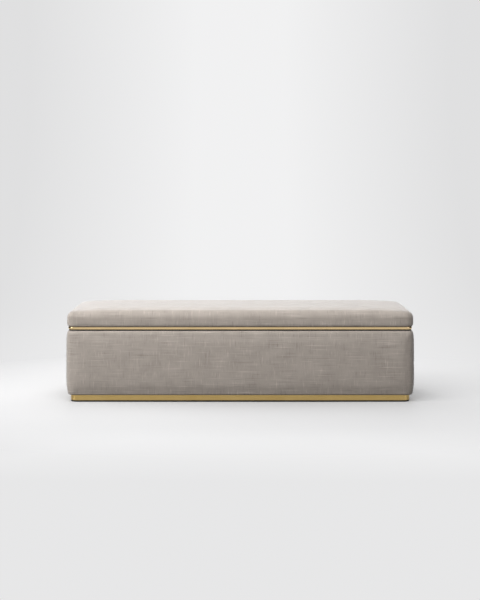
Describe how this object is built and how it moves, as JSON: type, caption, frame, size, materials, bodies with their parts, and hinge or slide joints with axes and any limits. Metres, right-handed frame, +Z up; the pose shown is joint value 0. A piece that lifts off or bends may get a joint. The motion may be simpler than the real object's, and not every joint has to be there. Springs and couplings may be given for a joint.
{
  "type": "bed bench",
  "caption": "Long upholstered storage bench for the foot of a bed, with a cushioned lid on gas struts, a brass moulding under the lid and a recessed brass plinth.",
  "frame": {"origin": "on the floor, under the middle of the bench", "axes": "+X along the length to the right seen from the front, +Y to the back where the hinges are, +Z up"},
  "size_m": [1.6, 0.45, 0.4297],
  "materials": {
    "upholstery": "greige linen weave",
    "lining": "dark plain cloth",
    "foam": "open-cell upholstery foam",
    "plywood": "raw plywood",
    "pine": "raw pine",
    "brass": "brushed satin",
    "steel": "zinc plated",
    "black_enamel": "satin black",
    "rubber": "matte",
    "glide_plastic": "matte"
  },
  "bodies": {
    "box": {"glide_front_left": "glide_plastic", "glide_front_middle": "glide_plastic", "glide_front_right": "glide_plastic", "glide_back_left": "glide_plastic", "glide_back_middle": "glide_plastic", "glide_back_right": "glide_plastic", "plinth_rail_front": "pine", "plinth_rail_back": "pine", "plinth_rail_left": "pine", "plinth_rail_right": "pine", "plinth_rail_cross": "pine", "plinth_band_front": "brass", "plinth_band_back": "brass", "plinth_band_left": "brass", "plinth_band_right": "brass", "floor_panel": "plywood", "front_panel": "plywood", "back_panel": "plywood", "left_panel": "plywood", "right_panel": "plywood", "corner_post_front_left": "pine", "corner_post_front_right": "pine", "corner_post_back_left": "pine", "corner_post_back_right": "pine", "front_foam": "foam", "back_foam": "foam", "left_foam": "foam", "right_foam": "foam", "base_cover": "upholstery", "storage_lining": "lining", "hinge_left_box_leaf": "steel", "hinge_left_pin": "steel", "hinge_middle_box_leaf": "steel", "hinge_middle_pin": "steel", "hinge_right_box_leaf": "steel", "hinge_right_pin": "steel", "strut_left_box_bracket": "steel", "bumper_front_left": "rubber", "bumper_end_left": "rubber", "strut_right_box_bracket": "steel", "bumper_front_right": "rubber", "bumper_end_right": "rubber"},
    "lid": {"lid_board": "plywood", "cushion_board": "plywood", "cushion_foam": "foam", "cushion_cover": "upholstery", "lid_lining": "lining", "lid_trim_front": "brass", "lid_trim_back": "brass", "lid_trim_left": "brass", "lid_trim_right": "brass", "hinge_left_lid_leaf": "steel", "hinge_middle_lid_leaf": "steel", "hinge_right_lid_leaf": "steel", "strut_left_lid_bracket": "steel", "strut_right_lid_bracket": "steel"},
    "left_strut_tube": {"strut_left_tube": "black_enamel"},
    "left_strut_rod": {"strut_left_rod": "steel"},
    "right_strut_tube": {"strut_right_tube": "black_enamel"},
    "right_strut_rod": {"strut_right_rod": "steel"}
  },
  "joints": [
    {"name": "lid_hinge", "type": "hinge", "parent": "box", "child": "lid", "pos_m": [0, 0.22, 0.32875], "axis": [-1, 0, 0], "range_deg": [0, 80]},
    {"name": "left_strut_foot", "type": "hinge", "parent": "box", "child": "left_strut_tube", "pos_m": [-0.7449, 0.156, 0.0871], "axis": [-1, 0, 0], "range_deg": [0, 40]},
    {"name": "left_strut_head", "type": "hinge", "parent": "lid", "child": "left_strut_rod", "pos_m": [-0.7449, -0.02863, 0.30275], "axis": [-1, 0, 0], "range_deg": [-40, 0]},
    {"name": "right_strut_foot", "type": "hinge", "parent": "box", "child": "right_strut_tube", "pos_m": [0.7449, 0.156, 0.0871], "axis": [-1, 0, 0], "range_deg": [0, 40]},
    {"name": "right_strut_head", "type": "hinge", "parent": "lid", "child": "right_strut_rod", "pos_m": [0.7449, -0.02863, 0.30275], "axis": [-1, 0, 0], "range_deg": [-40, 0]}
  ],
  "couplings": [
    {"joint": "left_strut_foot", "follows": "lid_hinge", "ratio": 0.5},
    {"joint": "left_strut_head", "follows": "lid_hinge", "ratio": -0.5},
    {"joint": "right_strut_foot", "follows": "lid_hinge", "ratio": 0.5},
    {"joint": "right_strut_head", "follows": "lid_hinge", "ratio": -0.5}
  ]
}
